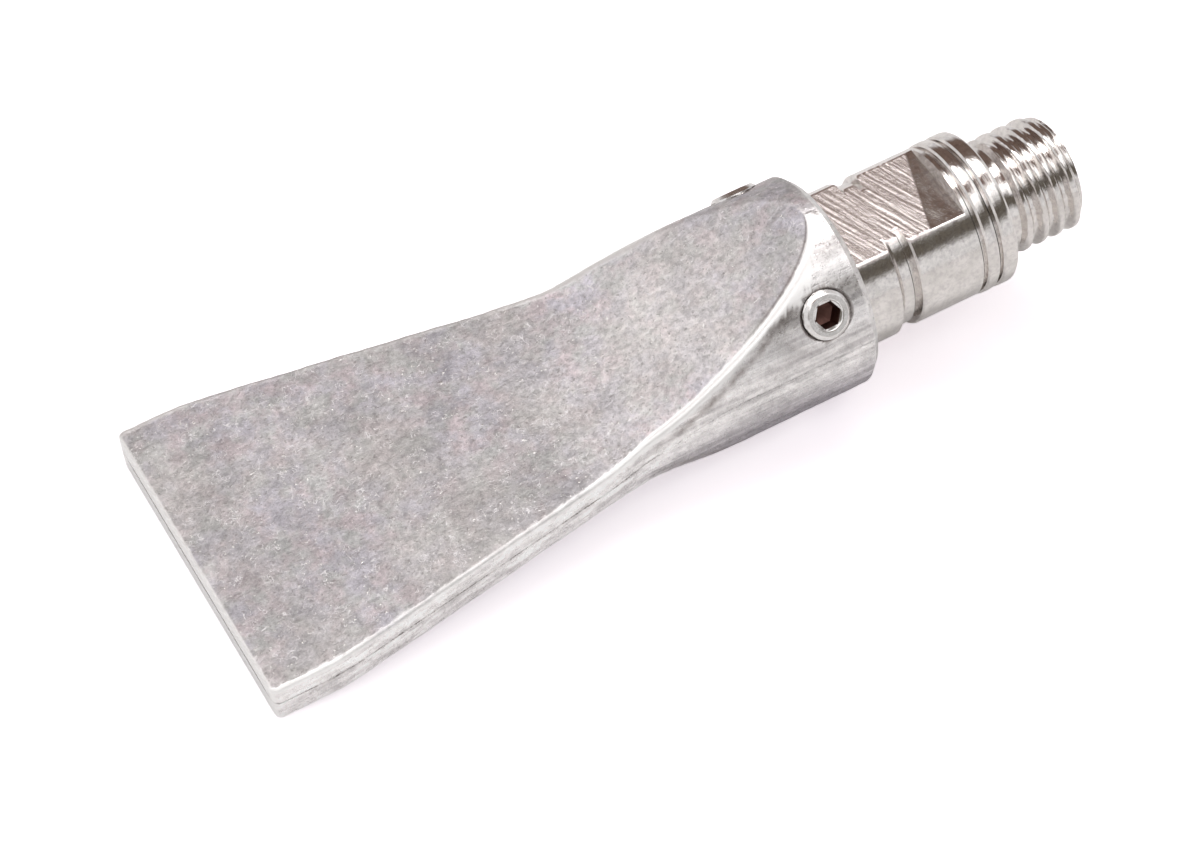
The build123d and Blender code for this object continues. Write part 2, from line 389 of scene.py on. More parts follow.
def turned(name, profile, columns, place=Matrix.Identity(4), field=None):
    """A solid of revolution about local Z, from (height, radius) rows whose two ends are poles.

    field(height, radius, angle) may change the radius at each point.
    """
    height, radius = profile[1:-1, 0], profile[1:-1, 1]
    angle = np.arange(columns) * 2 * math.pi / columns
    shape = (len(height), columns)
    heights = np.broadcast_to(height[:, None], shape)
    radii = np.broadcast_to(radius[:, None], shape)
    if field:
        radii = field(heights, radii, np.broadcast_to(angle[None, :], shape))
    points = np.stack([radii * np.cos(angle), radii * np.sin(angle), heights], -1).reshape(-1, 3)
    poles = np.array([[0, 0, profile[0, 0]], [0, 0, profile[-1, 0]]])
    points = np.concatenate([points, poles])
    rotation = np.array(place.to_3x3())
    points = points @ rotation.T + np.array(place.translation) / MM
    faces = [list(f) for f in grid_faces(len(height), columns, wrap_columns=True)]
    first, last = len(points) - 2, len(points) - 1
    end_row = (len(height) - 1) * columns
    for k in range(columns):
        after = (k + 1) % columns
        faces.append([first, after, k])
        faces.append([last, end_row + k, end_row + after])
    return make_object(name, points, faces)


def clamp_place(joint):
    """The place of a clamping screw: local Z points outwards, local X along the stem."""
    outwards = Vector(JOINTS[joint]["axis"]).normalized()
    along = Vector((1, 0, 0))
    place = Matrix((along, outwards.cross(along), outwards)).transposed().to_4x4()
    place.translation = Vector(JOINTS[joint]["pos_m"])
    return place


def cut_holes(shell):
    """Cuts the two stepped, countersunk screw holes out of the upper casting."""
    depths = [(PAD_INNER - 1, 0), (PAD_INNER - 1, PAD_HOLE_RADIUS), (TAPPED_HOLE_FLOOR, PAD_HOLE_RADIUS),
              (TAPPED_HOLE_FLOOR, TAPPED_HOLE_RADIUS), (BOSS_RADIUS - COUNTERSINK, TAPPED_HOLE_RADIUS),
              (BOSS_RADIUS + 1, TAPPED_HOLE_RADIUS + COUNTERSINK + 1), (BOSS_RADIUS + 1, 0)]
    for joint in ("left_screw_turn", "right_screw_turn"):
        cutter = turned("cutter", resample(depths, 0.6), HOLE_COLUMNS, clamp_place(joint))
        cut = shell.modifiers.new("hole", "BOOLEAN")
        cut.operation = "DIFFERENCE"
        cut.solver = "EXACT"
        cut.object = cutter
        bpy.context.view_layer.objects.active = shell
        with bpy.context.temp_override(object=shell, active_object=shell):
            bpy.ops.object.modifier_apply(modifier=cut.name)
        bpy.data.objects.remove(cutter)
    shell.data.shade_smooth()
    shell.data.set_sharp_from_angle(angle=math.radians(30))


def thread_height(phase, crest=0.2, root=0.16):
    """Height of a 60 degree thread form, 0 at the root and 1 at the crest, over one pitch."""
    distance = np.abs(phase - np.round(phase)) * 2
    return 1 - smooth_step(crest, 1 - root, distance)


def stem_outline():
    """Corners of the stem's half section (station, radius), from the spigot's end to the bore."""
    outline = [(SPIGOT_END, FEED_BORE_RADIUS), (SPIGOT_END, 4.6), (SPIGOT_END + 0.4, SPIGOT_RADIUS)]
    for station, half_width, floor in SPIGOT_GROOVES:
        outline += [(station - half_width, SPIGOT_RADIUS), (station - half_width, floor)]
        outline += [(station + half_width, floor), (station + half_width, SPIGOT_RADIUS)]

    # collar, then two grooves with a narrow land between them
    outline += [(COLLAR_END, SPIGOT_RADIUS), (COLLAR_END, RING_RADIUS - STEM_EDGE)]
    outline += [(COLLAR_END + STEM_EDGE, RING_RADIUS), (GROOVES_START - STEM_EDGE, RING_RADIUS)]
    outline += [(GROOVES_START, RING_RADIUS - STEM_EDGE), (-10.69, 5.9), (-10.5, 5.9)]
    outline += [(-10.49, 6.0), (-10.35, LAND_RADIUS), (-9.5, LAND_RADIUS), (-9.4, 6.0)]
    outline += [(-9.39, 5.7), (GROOVES_END - 0.01, 5.7), (GROOVES_END, BARREL_RADIUS - STEM_EDGE)]

    # barrel, with a narrow band where the flats end
    outline += [(GROOVES_END + STEM_EDGE, BARREL_RADIUS), (FLAT_START - 0.02, BARREL_RADIUS)]
    outline += [(FLAT_START + 0.02, BARREL_RADIUS), (-3.27, BARREL_RADIUS), (-3.15, 6.38)]

    # two rings with rounded edges, and the groove before each
    outline += [(-3.14, LAND_RADIUS), (-2.81, LAND_RADIUS), (-2.8, 6.42), (-2.66, 6.58)]
    outline += [(-2.4, RING_RADIUS), (-2.0, RING_RADIUS), (-1.79, 6.57), (-1.65, 6.42)]
    outline += [(-1.64, LAND_RADIUS), (-1.36, LAND_RADIUS), (-1.35, 6.42), (-1.2, 6.58)]
    outline += [(-1.0, RING_RADIUS), (-0.35, RING_RADIUS), (-0.15, 6.57), (0.0, 6.45)]

    # thread relief, stud and the mouth of the bore
    outline += [(0.0, 4.65), (0.06, 4.5), (0.2, RELIEF_RADIUS), (THREAD_START - 0.2, RELIEF_RADIUS)]
    outline += [(THREAD_START, 4.5), (THREAD_START + 0.35, STUD_RADIUS), (STUD_END - 0.5, STUD_RADIUS)]
    outline += [(STUD_END - 0.05, 4.55), (STUD_END, 4.48), (STUD_END, 2.85)]
    outline += [(STUD_END - 0.06, 2.78), (STUD_END - 0.35, FEED_BORE_RADIUS)]
    return outline


def stem():
    """The threaded, turned and milled stem as one closed mesh."""
    outline = stem_outline()
    hidden = [p for p in outline if p[0] < COLLAR_END]
    shown = outline[len(hidden):]
    bore = [shown[-1], (SPIGOT_END, FEED_BORE_RADIUS)]
    bore = resample(bore, BORE_STEP)[1:-1]
    rows = np.concatenate([resample(hidden, HIDDEN_STEP), resample(shown, SHOWN_STEP), bore])
    columns = STEM_COLUMNS
    angle = np.arange(columns) * 2 * math.pi / columns
    x = np.repeat(rows[:, :1], columns, 1)
    radius = np.repeat(rows[:, 1:], columns, 1)
    outside = np.ones_like(radius, bool)
    outside[len(rows) - len(bore):] = False

    on_stud = outside & (x > THREAD_START - 0.25) & (radius > FEED_BORE_RADIUS + 0.4)
    phase = x / THREAD_PITCH - angle / (2 * math.pi)
    depth = THREAD_DEPTH * smooth_step(THREAD_START + 0.1, THREAD_START + 0.6, x)
    thread = STUD_RADIUS - depth * (1 - thread_height(phase))
    radius = np.where(on_stud, np.minimum(radius, thread), radius)

    z_share = np.abs(np.sin(angle))[None, :] + 1e-6
    milled = outside & (x < FLAT_START) & (x > COLLAR_END - 0.01)
    y = np.sign(np.cos(angle)) * FLAT_HEIGHT * np.abs(np.cos(angle)) / z_share
    radius = np.where(milled, np.minimum(radius, (FLAT_HEIGHT - flat_relief(x, y)) / z_share), radius)
    points = np.stack([x, radius * np.cos(angle), radius * np.sin(angle)], -1)
    faces = grid_faces(len(rows), columns, wrap_rows=True, wrap_columns=True)
    return make_object("stem_adapter_turned", points.reshape(-1, 3), faces, 32)


def flat_relief(x, y):
    """Depth of the tool marks on the spanner flats, and of the smooth facet beside the wall."""
    across = math.cos(MARK_ANGLE) * x + math.sin(MARK_ANGLE) * y
    along = math.cos(MARK_ANGLE) * y - math.sin(MARK_ANGLE) * x
    marks = np.zeros(np.shape(across))
    on_flat = (x < FLAT_START) & (x > COLLAR_END) & (np.abs(y) < STEM_HIGH[1])
    for index in zip(*np.nonzero(on_flat)):
        marks[index] = noise.noise(Vector((3.8 * across[index], 0.2 * along[index], 0)))
        marks[index] += 0.6 * noise.noise(Vector((8.1 * across[index], 0.4 * along[index], 5)))
    facet = smooth_step(-0.06, 0.06, x - facet_line(y))
    return MARK_DEPTH * (1 + marks) * (1 - facet) + facet * FACET_DROP


def facet_line(y):
    """Station where the tool marks stop: skewed, from the far edge to the near edge."""
    return -5.5 + 0.33 * y


def set_screw(name, joint):
    """A headless M4 screw: threaded, chamfered, with a hex socket and a cupped point."""
    corner = HEX_ACROSS_FLATS / math.sqrt(3)
    socket_floor = SCREW_OUTER - HEX_DEPTH
    profile = [(SCREW_INNER + 0.25, 0), (SCREW_INNER, 0.9), (SCREW_INNER, 1.2), (SCREW_INNER + 0.45, 1.98)]
    profile += [(SCREW_OUTER - 0.34, SCREW_RADIUS), (SCREW_OUTER - 0.06, 1.74), (SCREW_OUTER, 1.66)]
    profile += [(SCREW_OUTER, corner + 0.12), (SCREW_OUTER - 0.02, corner + 0.08)]
    profile += [(SCREW_OUTER - 0.13, corner), (socket_floor, corner), (socket_floor - 0.45, 0)]
    rows = resample(profile[1:-1], 0.06)
    rows = np.concatenate([[profile[0]], rows, [profile[-1]]])
    middle_start = SCREW_INNER + 0.3

    def field(height, radius, angle):
        phase = height / SCREW_PITCH - angle / (2 * math.pi)
        depth = SCREW_THREAD_DEPTH * smooth_step(middle_start, middle_start + 0.3, height)
        depth *= 1 - smooth_step(SCREW_OUTER - 0.42, SCREW_OUTER - 0.3, height)
        thread = SCREW_RADIUS - depth * (1 - thread_height(phase))
        threaded = np.where(radius > 1.5, np.minimum(radius, thread), radius)
        sector = math.pi / 3
        inside = np.abs((angle % sector) - sector / 2)
        hexagon = HEX_ACROSS_FLATS / 2 / np.cos(inside)
        in_socket = (radius <= corner + 0.001) & (height > SCREW_INNER + 0.6)
        return np.where(in_socket, hexagon * radius / corner, threaded)

    return turned(name, rows, SCREW_COLUMNS, clamp_place(joint), field)


# ---------------------------------------------------------------- materials


# How the fan's tone changes along X: from one station to the next, times the factor
FAN_LIFTS = [(-60, -50, 0.917), (-42, -30, 1.40), (-27, -21, 0.80)]

PINK_GREY = (0.555, 0.495, 0.513, 1)
GREEN_GREY = (0.515, 0.512, 0.510, 1)
VIOLET_GREY = (0.52, 0.50, 0.54, 1)
OLIVE_GREY = (0.53, 0.51, 0.497, 1)
FLANK_DARK = (0.64, 0.61, 0.61, 1)
FLANK_LIGHT = (0.95, 0.92, 0.91, 1)
# Mauve-grey of painted shade on the underside of the flanks
FLANK_UNDER_SHADE = (0.54, 0.50, 0.565, 1)
FLANK_FLAKE = (0.95, 0.93, 0.92, 1)
PIT = (0.30, 0.28, 0.27, 1)
FLAKE = (0.92, 0.90, 0.88, 1)
SCRATCH = (0.85, 0.83, 0.84, 1)
# Warm dark brown of painted shade and painted dark reflections, beside the near rim and in the screw holes
PAINTED_SHADE = (0.17, 0.13, 0.115, 1)
# Near-white of the polished rims, bright enough to be a painted highlight
POLISHED_HIGHLIGHT = (0.99, 0.975, 0.965, 1)
NICKEL = (0.84, 0.80, 0.775, 1)
NICKEL_SMUDGE = (0.70, 0.67, 0.64, 1)
NICKEL_BLOOM = (0.60, 0.56, 0.555, 1)
NICKEL_MILLED = (0.92, 0.83, 0.81, 1)
STEEL = (0.90, 0.88, 0.87, 1)
STEEL_SMUDGE = (0.74, 0.71, 0.69, 1)
# Dark reds painted into the hex socket as shade and dark reflection
SOCKET_SHADE_DARK = (0.10, 0.05, 0.04, 1)
SOCKET_SHADE_WARM = (0.24, 0.13, 0.11, 1)
BRASS = (0.76, 0.58, 0.27, 1)
BRASS_BLOOM = (0.55, 0.40, 0.19, 1)
RUBBER = (0.018, 0.018, 0.019, 1)
RUBBER_BLOOM = (0.05, 0.05, 0.052, 1)


def add(tree, kind, inputs=None, **settings):
    """Adds a shader node; inputs may be values or the sockets of other nodes."""
    made = tree.nodes.new(kind)
    for name, value in settings.items():
        setattr(made, name, value)
    for key, value in (inputs or {}).items():
        if isinstance(value, bpy.types.NodeSocket):
            tree.links.new(value, made.inputs[key])
        else:
            made.inputs[key].default_value = value
    return made


def start_material(name):
    """A new node material, with its tree, its Principled shader and its coordinates in millimetres."""
    material = bpy.data.materials.new(name)
    material.use_nodes = True
    tree = material.node_tree
    shader = tree.nodes["Principled BSDF"]
    place = add(tree, "ShaderNodeTexCoord").outputs["Object"]
    millimetres = add(tree, "ShaderNodeMapping", {"Vector": place, "Scale": (1 / MM,) * 3}).outputs[0]
    return material, tree, shader, millimetres


def stretched(tree, coordinates, scale):
    """The coordinates with each axis scaled, for grain that runs one way."""
    return add(tree, "ShaderNodeMapping", {"Vector": coordinates, "Scale": scale}).outputs[0]


def noise_value(tree, coordinates, scale, detail=3.0, roughness=0.55):
    """Smooth noise, near 0.5 and mostly between 0.3 and 0.7."""
    made = add(tree, "ShaderNodeTexNoise", {"Vector": coordinates, "Scale": scale, "Detail": detail,
                                            "Roughness": roughness})
    return made.outputs[0]


def map_range(tree, value, low, high, to_low=0.0, to_high=1.0):
    """The value moved from the range low to high onto another range, and held inside it."""
    made = add(tree, "ShaderNodeMapRange", {"Value": value, "From Min": low, "From Max": high,
                                            "To Min": to_low, "To Max": to_high})
    return made.outputs[0]


def mix_colour(tree, factor, a, b, blend="MIX"):
    """Colour a at factor 0, and colour b, or the blend of both, at factor 1."""
    made = add(tree, "ShaderNodeMix", data_type="RGBA", blend_type=blend)
    for index, value in ((0, factor), (6, a), (7, b)):
        if isinstance(value, bpy.types.NodeSocket):
            tree.links.new(value, made.inputs[index])
        else:
            made.inputs[index].default_value = value
    return made.outputs[2]


def times(tree, colour, factor):
    """A colour multiplied by a value or by another colour."""
    return mix_colour(tree, 1.0, colour, factor, "MULTIPLY")


def mix_value(tree, factor, a, b):
    """Value a at factor 0 and value b at factor 1."""
    made = add(tree, "ShaderNodeMix", {"Factor": factor, "A": a, "B": b}, data_type="FLOAT")
    return made.outputs[0]


def multiply(tree, a, b):
    """Two values multiplied."""
    return add(tree, "ShaderNodeMath", {0: a, 1: b}, operation="MULTIPLY").outputs[0]


def mask(tree, name):
    """The value that store_mask() kept for each vertex."""
    return add(tree, "ShaderNodeAttribute", attribute_name=name).outputs["Fac"]


def bump(tree, height, depth_mm, normal=None, strength=1.0):
    """A normal bent by a height, on top of another normal where one is given."""
    inputs = {"Height": height, "Distance": depth_mm * MM, "Strength": strength}
    if normal is not None:
        inputs["Normal"] = normal
    return add(tree, "ShaderNodeBump", inputs).outputs[0]


def wire(tree, shader, **sockets):
    """Sets or links the shader's inputs; an underscore stands for a space in an input's name."""
    for name, value in sockets.items():
        key = name.replace("_", " ")
        if isinstance(value, bpy.types.NodeSocket):
            tree.links.new(value, shader.inputs[key])
        else:
            shader.inputs[key].default_value = value


def flake_layers(tree, place):
    """Grain, bright flakes, short bright scratches and dark pits of a blasted casting, from 0 to 1."""
    grain = map_range(tree, noise_value(tree, place, 1.9, 4, 0.75), 0.34, 0.66)
    flakes = multiply(tree, map_range(tree, noise_value(tree, place, 3.4, 2, 0.6), 0.62, 0.72),
                      map_range(tree, noise_value(tree, place, 0.7, 2, 0.6), 0.40, 0.60))
    ridge = add(tree, "ShaderNodeTexNoise", {"Vector": place, "Scale": 1.1, "Detail": 1.5, "Distortion": 1.2})
    on_ridge = add(tree, "ShaderNodeMath", {0: ridge.outputs[0], 1: 0.5, 2: 0.012}, operation="COMPARE")
    patches = map_range(tree, noise_value(tree, place, 0.8, 1), 0.52, 0.60)
    scratches = multiply(tree, on_ridge.outputs[0], patches)
    pits = map_range(tree, noise_value(tree, place, 3.1, 2, 0.6), 0.38, 0.30)
    return grain, flakes, scratches, pits


def cast_tint(tree, place):
    """Faint pink, grey-green and violet clouds of an uneven cast skin."""
    cloud = add(tree, "ShaderNodeTexNoise", {"Vector": place, "Scale": 0.45, "Detail": 4.0, "Roughness": 0.6})
    split = add(tree, "ShaderNodeSeparateColor", {"Color": cloud.outputs["Color"]}).outputs
    tint = mix_colour(tree, map_range(tree, split[0], 0.40, 0.60), PINK_GREY, GREEN_GREY)
    tint = mix_colour(tree, map_range(tree, split[1], 0.46, 0.62), tint, VIOLET_GREY)
    wide = noise_value(tree, place, 0.09, 1)
    return mix_colour(tree, map_range(tree, wide, 0.44, 0.60, 0, 0.6), tint, OLIVE_GREY)


def cast_alloy():
    """Blasted cast alloy: sparkling flakes on the fan, long streaks on the flanks, polished rims with painted
    highlights, and painted shade beside the near rim, in the screw holes and under the boss.
    """
    material, tree, shader, place = start_material("cast_alloy")
    polish_and_highlight, flank, shade = (mask(tree, name) for name in ("polish_and_highlight", "flank", "shade"))
    grain, flakes, scratches, pits = flake_layers(tree, place)
    streaks = noise_value(tree, stretched(tree, place, (0.07, 1.5, 1.5)), 1.0, 3, 0.65)
    station = add(tree, "ShaderNodeSeparateXYZ", {"Vector": place}).outputs

    fan = fan_colour(tree, place, station["X"], grain)
    fan = mix_colour(tree, multiply(tree, pits, 0.6), fan, PIT)
    fan = mix_colour(tree, flakes, fan, FLAKE)
    fan = mix_colour(tree, multiply(tree, scratches, 0.8), fan, SCRATCH)
    side = flank_colour(tree, place, station, streaks, grain, flakes)
    colour = mix_colour(tree, flank, fan, side)
    # painted shade: dark reflection lines beside the near rim, a shaded patch by the near screw, and shade in
    # the screw holes
    colour = mix_colour(tree, multiply(tree, shade, 0.75), colour, PAINTED_SHADE)
    # painted highlight: the polished rims, the lip's end and the boss's chamfer are whitened
    colour = mix_colour(tree, polish_and_highlight, colour, POLISHED_HIGHLIGHT)

    rough = mix_value(tree, flakes, 0.56, 0.26)
    rough = mix_value(tree, flank, rough, map_range(tree, grain, 0, 1, 0.22, 0.36))
    rough = mix_value(tree, polish_and_highlight, rough, 0.34)
    matt = mix_value(tree, polish_and_highlight, 1.0, 0.15)
    normal = bump(tree, grain, 0.022, strength=multiply(tree, matt, mix_value(tree, flank, 1.0, 0.45)))
    normal = bump(tree, flakes, 0.02, normal, matt)
    normal = bump(tree, streaks, 0.03, normal, multiply(tree, matt, flank))
    metal = mix_value(tree, polish_and_highlight, 0.85, 0.4)
    wire(tree, shader, Base_Color=colour, Roughness=rough, Metallic=metal, Normal=normal)
    return material


def fan_colour(tree, place, along, grain):
    """The flat faces: tinted grain with slow drifts of tone, and a change of tone along the head."""
    drift = noise_value(tree, place, 0.25, 2, 0.5)
    colour = times(tree, cast_tint(tree, place), map_range(tree, grain, 0, 1, 0.78, 1.30))
    colour = times(tree, colour, map_range(tree, drift, 0.35, 0.65, 0.90, 1.10))
    for start, end, factor in FAN_LIFTS:
        colour = times(tree, colour, map_range(tree, along, start, end, 1.0, factor))
    return colour


def flank_colour(tree, place, station, streaks, grain, flakes):
    """The linished flanks: long streaks, clouds, darker on the boss, and painted shade towards its underside.
    """
    colour = mix_colour(tree, map_range(tree, streaks, 0.38, 0.62), FLANK_DARK, FLANK_LIGHT)
    colour = times(tree, colour, map_range(tree, grain, 0, 1, 0.84, 1.14))
    colour = mix_colour(tree, flakes, colour, FLANK_FLAKE)
    colour = times(tree, colour, map_range(tree, station["X"], -38, -26, 1.2, 0.92))
    clouds = noise_value(tree, stretched(tree, place, (0.5, 0.8, 0.8)), 1.0, 3, 0.6)
    colour = times(tree, colour, map_range(tree, clouds, 0.35, 0.65, 0.86, 1.12))
    on_boss = map_range(tree, station["X"], -38, -28, 0.4, 1.0)
    # painted shade: the flanks darken towards the underside, most on the boss
    painted_under_shade = multiply(tree, on_boss, map_range(tree, station["Z"], 0.8, -3.8))
    return mix_colour(tree, painted_under_shade, colour, times(tree, colour, FLANK_UNDER_SHADE))


def bright_nickel():
    """Plated stem: lathe lines round the turned parts, tool marks on the flats, dull smudges."""
    material, tree, shader, place = start_material("bright_nickel")
    milled = mask(tree, "milled")
    smudge = noise_value(tree, place, 0.9, 4, 0.65)
    bloom = noise_value(tree, place, 2.6, 3, 0.6)
    lathe = noise_value(tree, stretched(tree, place, (9.0, 0.12, 0.12)), 1.0, 3, 0.7)
    turn = (0, 0, -MARK_ANGLE)
    marks_place = add(tree, "ShaderNodeMapping", {"Vector": place, "Rotation": turn}).outputs[0]
    marks = noise_value(tree, stretched(tree, marks_place, (5.5, 0.5, 0.5)), 1.0, 4, 0.75)
    colour = mix_colour(tree, map_range(tree, smudge, 0.35, 0.65), NICKEL, NICKEL_SMUDGE)
    colour = mix_colour(tree, map_range(tree, bloom, 0.45, 0.75), colour, NICKEL_BLOOM)
    colour = mix_colour(tree, multiply(tree, milled, 0.6), colour, NICKEL_MILLED)
    rough = mix_value(tree, milled, map_range(tree, smudge, 0.3, 0.7, 0.08, 0.20), 0.24)
    relief = mix_value(tree, milled, lathe, marks)
    normal = bump(tree, relief, 0.014, strength=mix_value(tree, milled, 0.45, 1.0))
    normal = bump(tree, bloom, 0.02, normal, 0.5)
    wire(tree, shader, Base_Color=colour, Roughness=rough, Metallic=1.0, Normal=normal)
    return material


def screw_steel():
    """Bright plated steel with fine turning lines, and painted shade and dark reflection in the hex socket.
    """
    material, tree, shader, place = start_material("screw_steel")
    socket = mask(tree, "socket")
    smudge = noise_value(tree, place, 2.2, 4, 0.6)
    scratches = noise_value(tree, stretched(tree, place, (6.0, 6.0, 1.2)), 1.0, 4, 0.7)
    colour = mix_colour(tree, map_range(tree, smudge, 0.3, 0.7), STEEL, STEEL_SMUDGE)
    # painted shade: the hex socket is darkened
    colour = mix_colour(tree, socket, colour, mix_colour(tree, smudge, SOCKET_SHADE_DARK, SOCKET_SHADE_WARM))
    rough = mix_value(tree, socket, map_range(tree, smudge, 0.3, 0.7, 0.16, 0.30), 0.45)
    wire(tree, shader, Base_Color=colour, Roughness=rough, Metallic=1.0, Normal=bump(tree, scratches, 0.008))
    return material


def turned_brass():
    """Brass of the thrust pads, with facing rings and a dull oxide bloom."""
    material, tree, shader, place = start_material("turned_brass")
    bloom = noise_value(tree, place, 1.5, 4, 0.6)
    lines = noise_value(tree, stretched(tree, place, (8.0, 2.0, 2.0)), 1.0, 3, 0.6)
    colour = mix_colour(tree, map_range(tree, bloom, 0.35, 0.65), BRASS, BRASS_BLOOM)
    rough = map_range(tree, bloom, 0.3, 0.7, 0.22, 0.42)
    wire(tree, shader, Base_Color=colour, Roughness=rough, Metallic=1.0, Normal=bump(tree, lines, 0.01))
    return material


def seal_rubber():
    """Moulded black rubber with a faint bloom and fine pores."""
    material, tree, shader, place = start_material("seal_rubber")
    bloom = noise_value(tree, place, 0.9, 4, 0.6)
    pores = noise_value(tree, place, 14.0, 3, 0.6)
    colour = mix_colour(tree, map_range(tree, bloom, 0.35, 0.7), RUBBER, RUBBER_BLOOM)
    rough = map_range(tree, bloom, 0.3, 0.7, 0.45, 0.65)
    wire(tree, shader, Base_Color=colour, Roughness=rough, Normal=bump(tree, pores, 0.01))
    return material


def pale_floor():
    """Plain white floor, lifted for the camera so that its shadows stay faint, and clear from below."""
    material, tree, shader, _ = start_material("pale_floor")
    seen = add(tree, "ShaderNodeLightPath").outputs["Is Camera Ray"]
    wire(tree, shader, Base_Color=(0.9, 0.9, 0.9, 1), Roughness=0.9, Emission_Color=(1, 0.92, 0.98, 1),
         Emission_Strength=multiply(tree, seen, FLOOR_LIFT))
    below = multiply(tree, seen, add(tree, "ShaderNodeNewGeometry").outputs["Backfacing"])
    clear = add(tree, "ShaderNodeBsdfTransparent").outputs[0]
    shown = add(tree, "ShaderNodeMixShader", {0: below, 1: shader.outputs[0], 2: clear}).outputs[0]
    tree.links.new(shown, tree.nodes["Material Output"].inputs["Surface"])
    return material


def dress(piece, material):
    """Gives a piece one material in all its slots."""
    piece.data.materials.clear()
    piece.data.materials.append(material)


def store_mask(piece, name, values):
    """Stores one value per vertex for the shaders."""
    attribute = piece.data.attributes.new(name, "FLOAT", "POINT")
    attribute.data.foreach_set("value", np.asarray(values, np.float32))


def vertices_mm(piece):
    """The piece's vertices in millimetres."""
    flat = np.zeros(len(piece.data.vertices) * 3)
    piece.data.vertices.foreach_get("co", flat)
    return flat.reshape(-1, 3) / MM


# ---------------------------------------------------------------- the pieces


def mark_casting(shell):
    """Masks for the polished rims with their painted highlights, the linished flanks, and the painted shade
    and dark reflections of a casting.
    """
    at = rim_frame(shell)
    outside = np.hypot(at.y, at.z) > SOCKET_RADIUS + 0.6
    cast_over = smooth_step(-29, -23, at.x) * smooth_step(-0.5, 1.0, at.y) * smooth_step(4.0, 6.5, at.z)
    chamfer_start = BOSS_FACE - BOSS_CHAMFER
    chamfer = smooth_step(chamfer_start - 0.12, chamfer_start, at.x) * outside
    flank = smooth_step(0.0, 0.3, at.below) * (at.inwards < 0.25)
    flank = np.maximum(flank, (at.x > RAMP_TOP_X) & outside)
    # the rim mask carries painted highlights; the boss's chamfer gets a faint painted highlight line
    store_mask(shell, "polish_and_highlight", np.maximum(rim_polish_and_highlight(at) * (1 - 0.85 * cast_over), 0.35 * chamfer))
    store_mask(shell, "flank", flank * (1 - cast_over))
    store_mask(shell, "shade", np.maximum(painted_rim_shade(at), screw_hole_shade(shell)))


def rim_frame(shell):
    """Where each vertex is, how far it is from the rim line, and how worn the rim is there."""
    x, y, z = vertices_mm(shell).T
    rim_y, rim_z = rim_line(x)
    # this wear also widens the band of painted highlight along the rim
    wear = 0.07 * waves(x * 1.7) + 0.05 * waves(x * 5.3 + 2) + 0.2 * rim_wear(x)
    inwards, below = rim_y - np.abs(y), rim_z - np.abs(z)
    return SimpleNamespace(x=x, y=y, z=z, inwards=inwards, below=below, distance=np.hypot(inwards, below),
                           wear=wear)


def rim_line(x):
    """Half width and height of the line where the flat faces meet the flanks."""
    radius = boss_radius(x)
    height = np.minimum(ramp_height(x), np.sqrt(radius**2 - CREST_HALF_WIDTH**2))
    half_width = smooth_max(plan_half_width(x), radius * np.cos(np.arcsin(height / radius)), 0.2)
    return half_width, height


def rim_polish_and_highlight(at):
    """Polish along the rims, partly a painted highlight, a painted reflection that whitens the lip's end, and
    a ragged painted highlight patch beside the near screw.
    """
    # painted highlight: a bright patch on the boss beside the near screw
    painted_highlight_patch = 1.1 * bell(at.x, CLAMP_STATION - 1.0, 2.0) * smooth_step(2, 0, at.y)
    painted_highlight_patch *= (1 + 0.5 * waves(at.x * 3.1 + 2 * at.z)) * smooth_step(0.05, 0.4, at.below)
    far_side = smooth_step(0, 2, at.y)
    polish_and_highlight = 1 - smooth_step(0.30 + at.wear, 0.44 + at.wear + 0.2 * far_side, at.distance - painted_highlight_patch)
    polish_and_highlight *= (at.x < RAMP_TOP_X + 0.25) * (1 - 0.2 * far_side)
    # painted highlight: the rim's white line is strengthened towards the boss and at the lip
    highlight_strength = np.maximum(smooth_step(-46, -34, at.x + 3 * waves(at.x * 0.8)), smooth_step(-60, -66, at.x))
    # painted reflection: the lip's end face is whitened
    lip_end = 1 - smooth_step(0.12, 0.30 + at.wear, at.x - LIP_X)
    return np.maximum(polish_and_highlight * (0.45 + 0.55 * highlight_strength), 0.85 * lip_end)


def painted_rim_shade(at):
    """Painted dark reflection lines on both sides of the near rim, and a painted shade patch between it and
    the near screw.
    """
    outer = bell(at.distance - at.wear, 0.95, 0.35) * smooth_step(0.1, 0.4, at.below)
    outer *= smooth_step(-37, -30, at.x) * smooth_step(RAMP_TOP_X - 3, RAMP_TOP_X - 6, at.x)
    outer *= 0.7 + 0.3 * waves(at.x * 2.3)
    painted_shade_patch = 0.36 * bell(at.x, CLAMP_STATION - 3.4, 1.7) * bell(at.z, 4.6, 1.5) * (at.distance > 0.5)
    painted_shade_patch *= 0.8 + 0.4 * waves(1.9 * at.x + 2.6 * at.z)
    inner = 0.7 * bell(at.distance, 0.58, 0.13) * smooth_step(0.3, 0.1, at.below) * (at.inwards > 0)
    inner *= smooth_step(-27, -22, at.x) * (at.x < RAMP_TOP_X) * smooth_step(0, -0.5, at.y)
    return np.maximum(np.maximum(outer, painted_shade_patch) * (at.y < 0), inner)


def screw_hole_shade(shell):
    """Painted shade: 1 on the walls of the screw holes, fading over the countersinks."""
    inside = np.zeros(len(shell.data.vertices))
    for joint in ("left_screw_turn", "right_screw_turn"):
        radius, height = round_screw(shell, joint)
        inside = np.maximum(inside, (radius < TAPPED_HOLE_RADIUS + 0.1) & (height > PAD_INNER))
    return inside


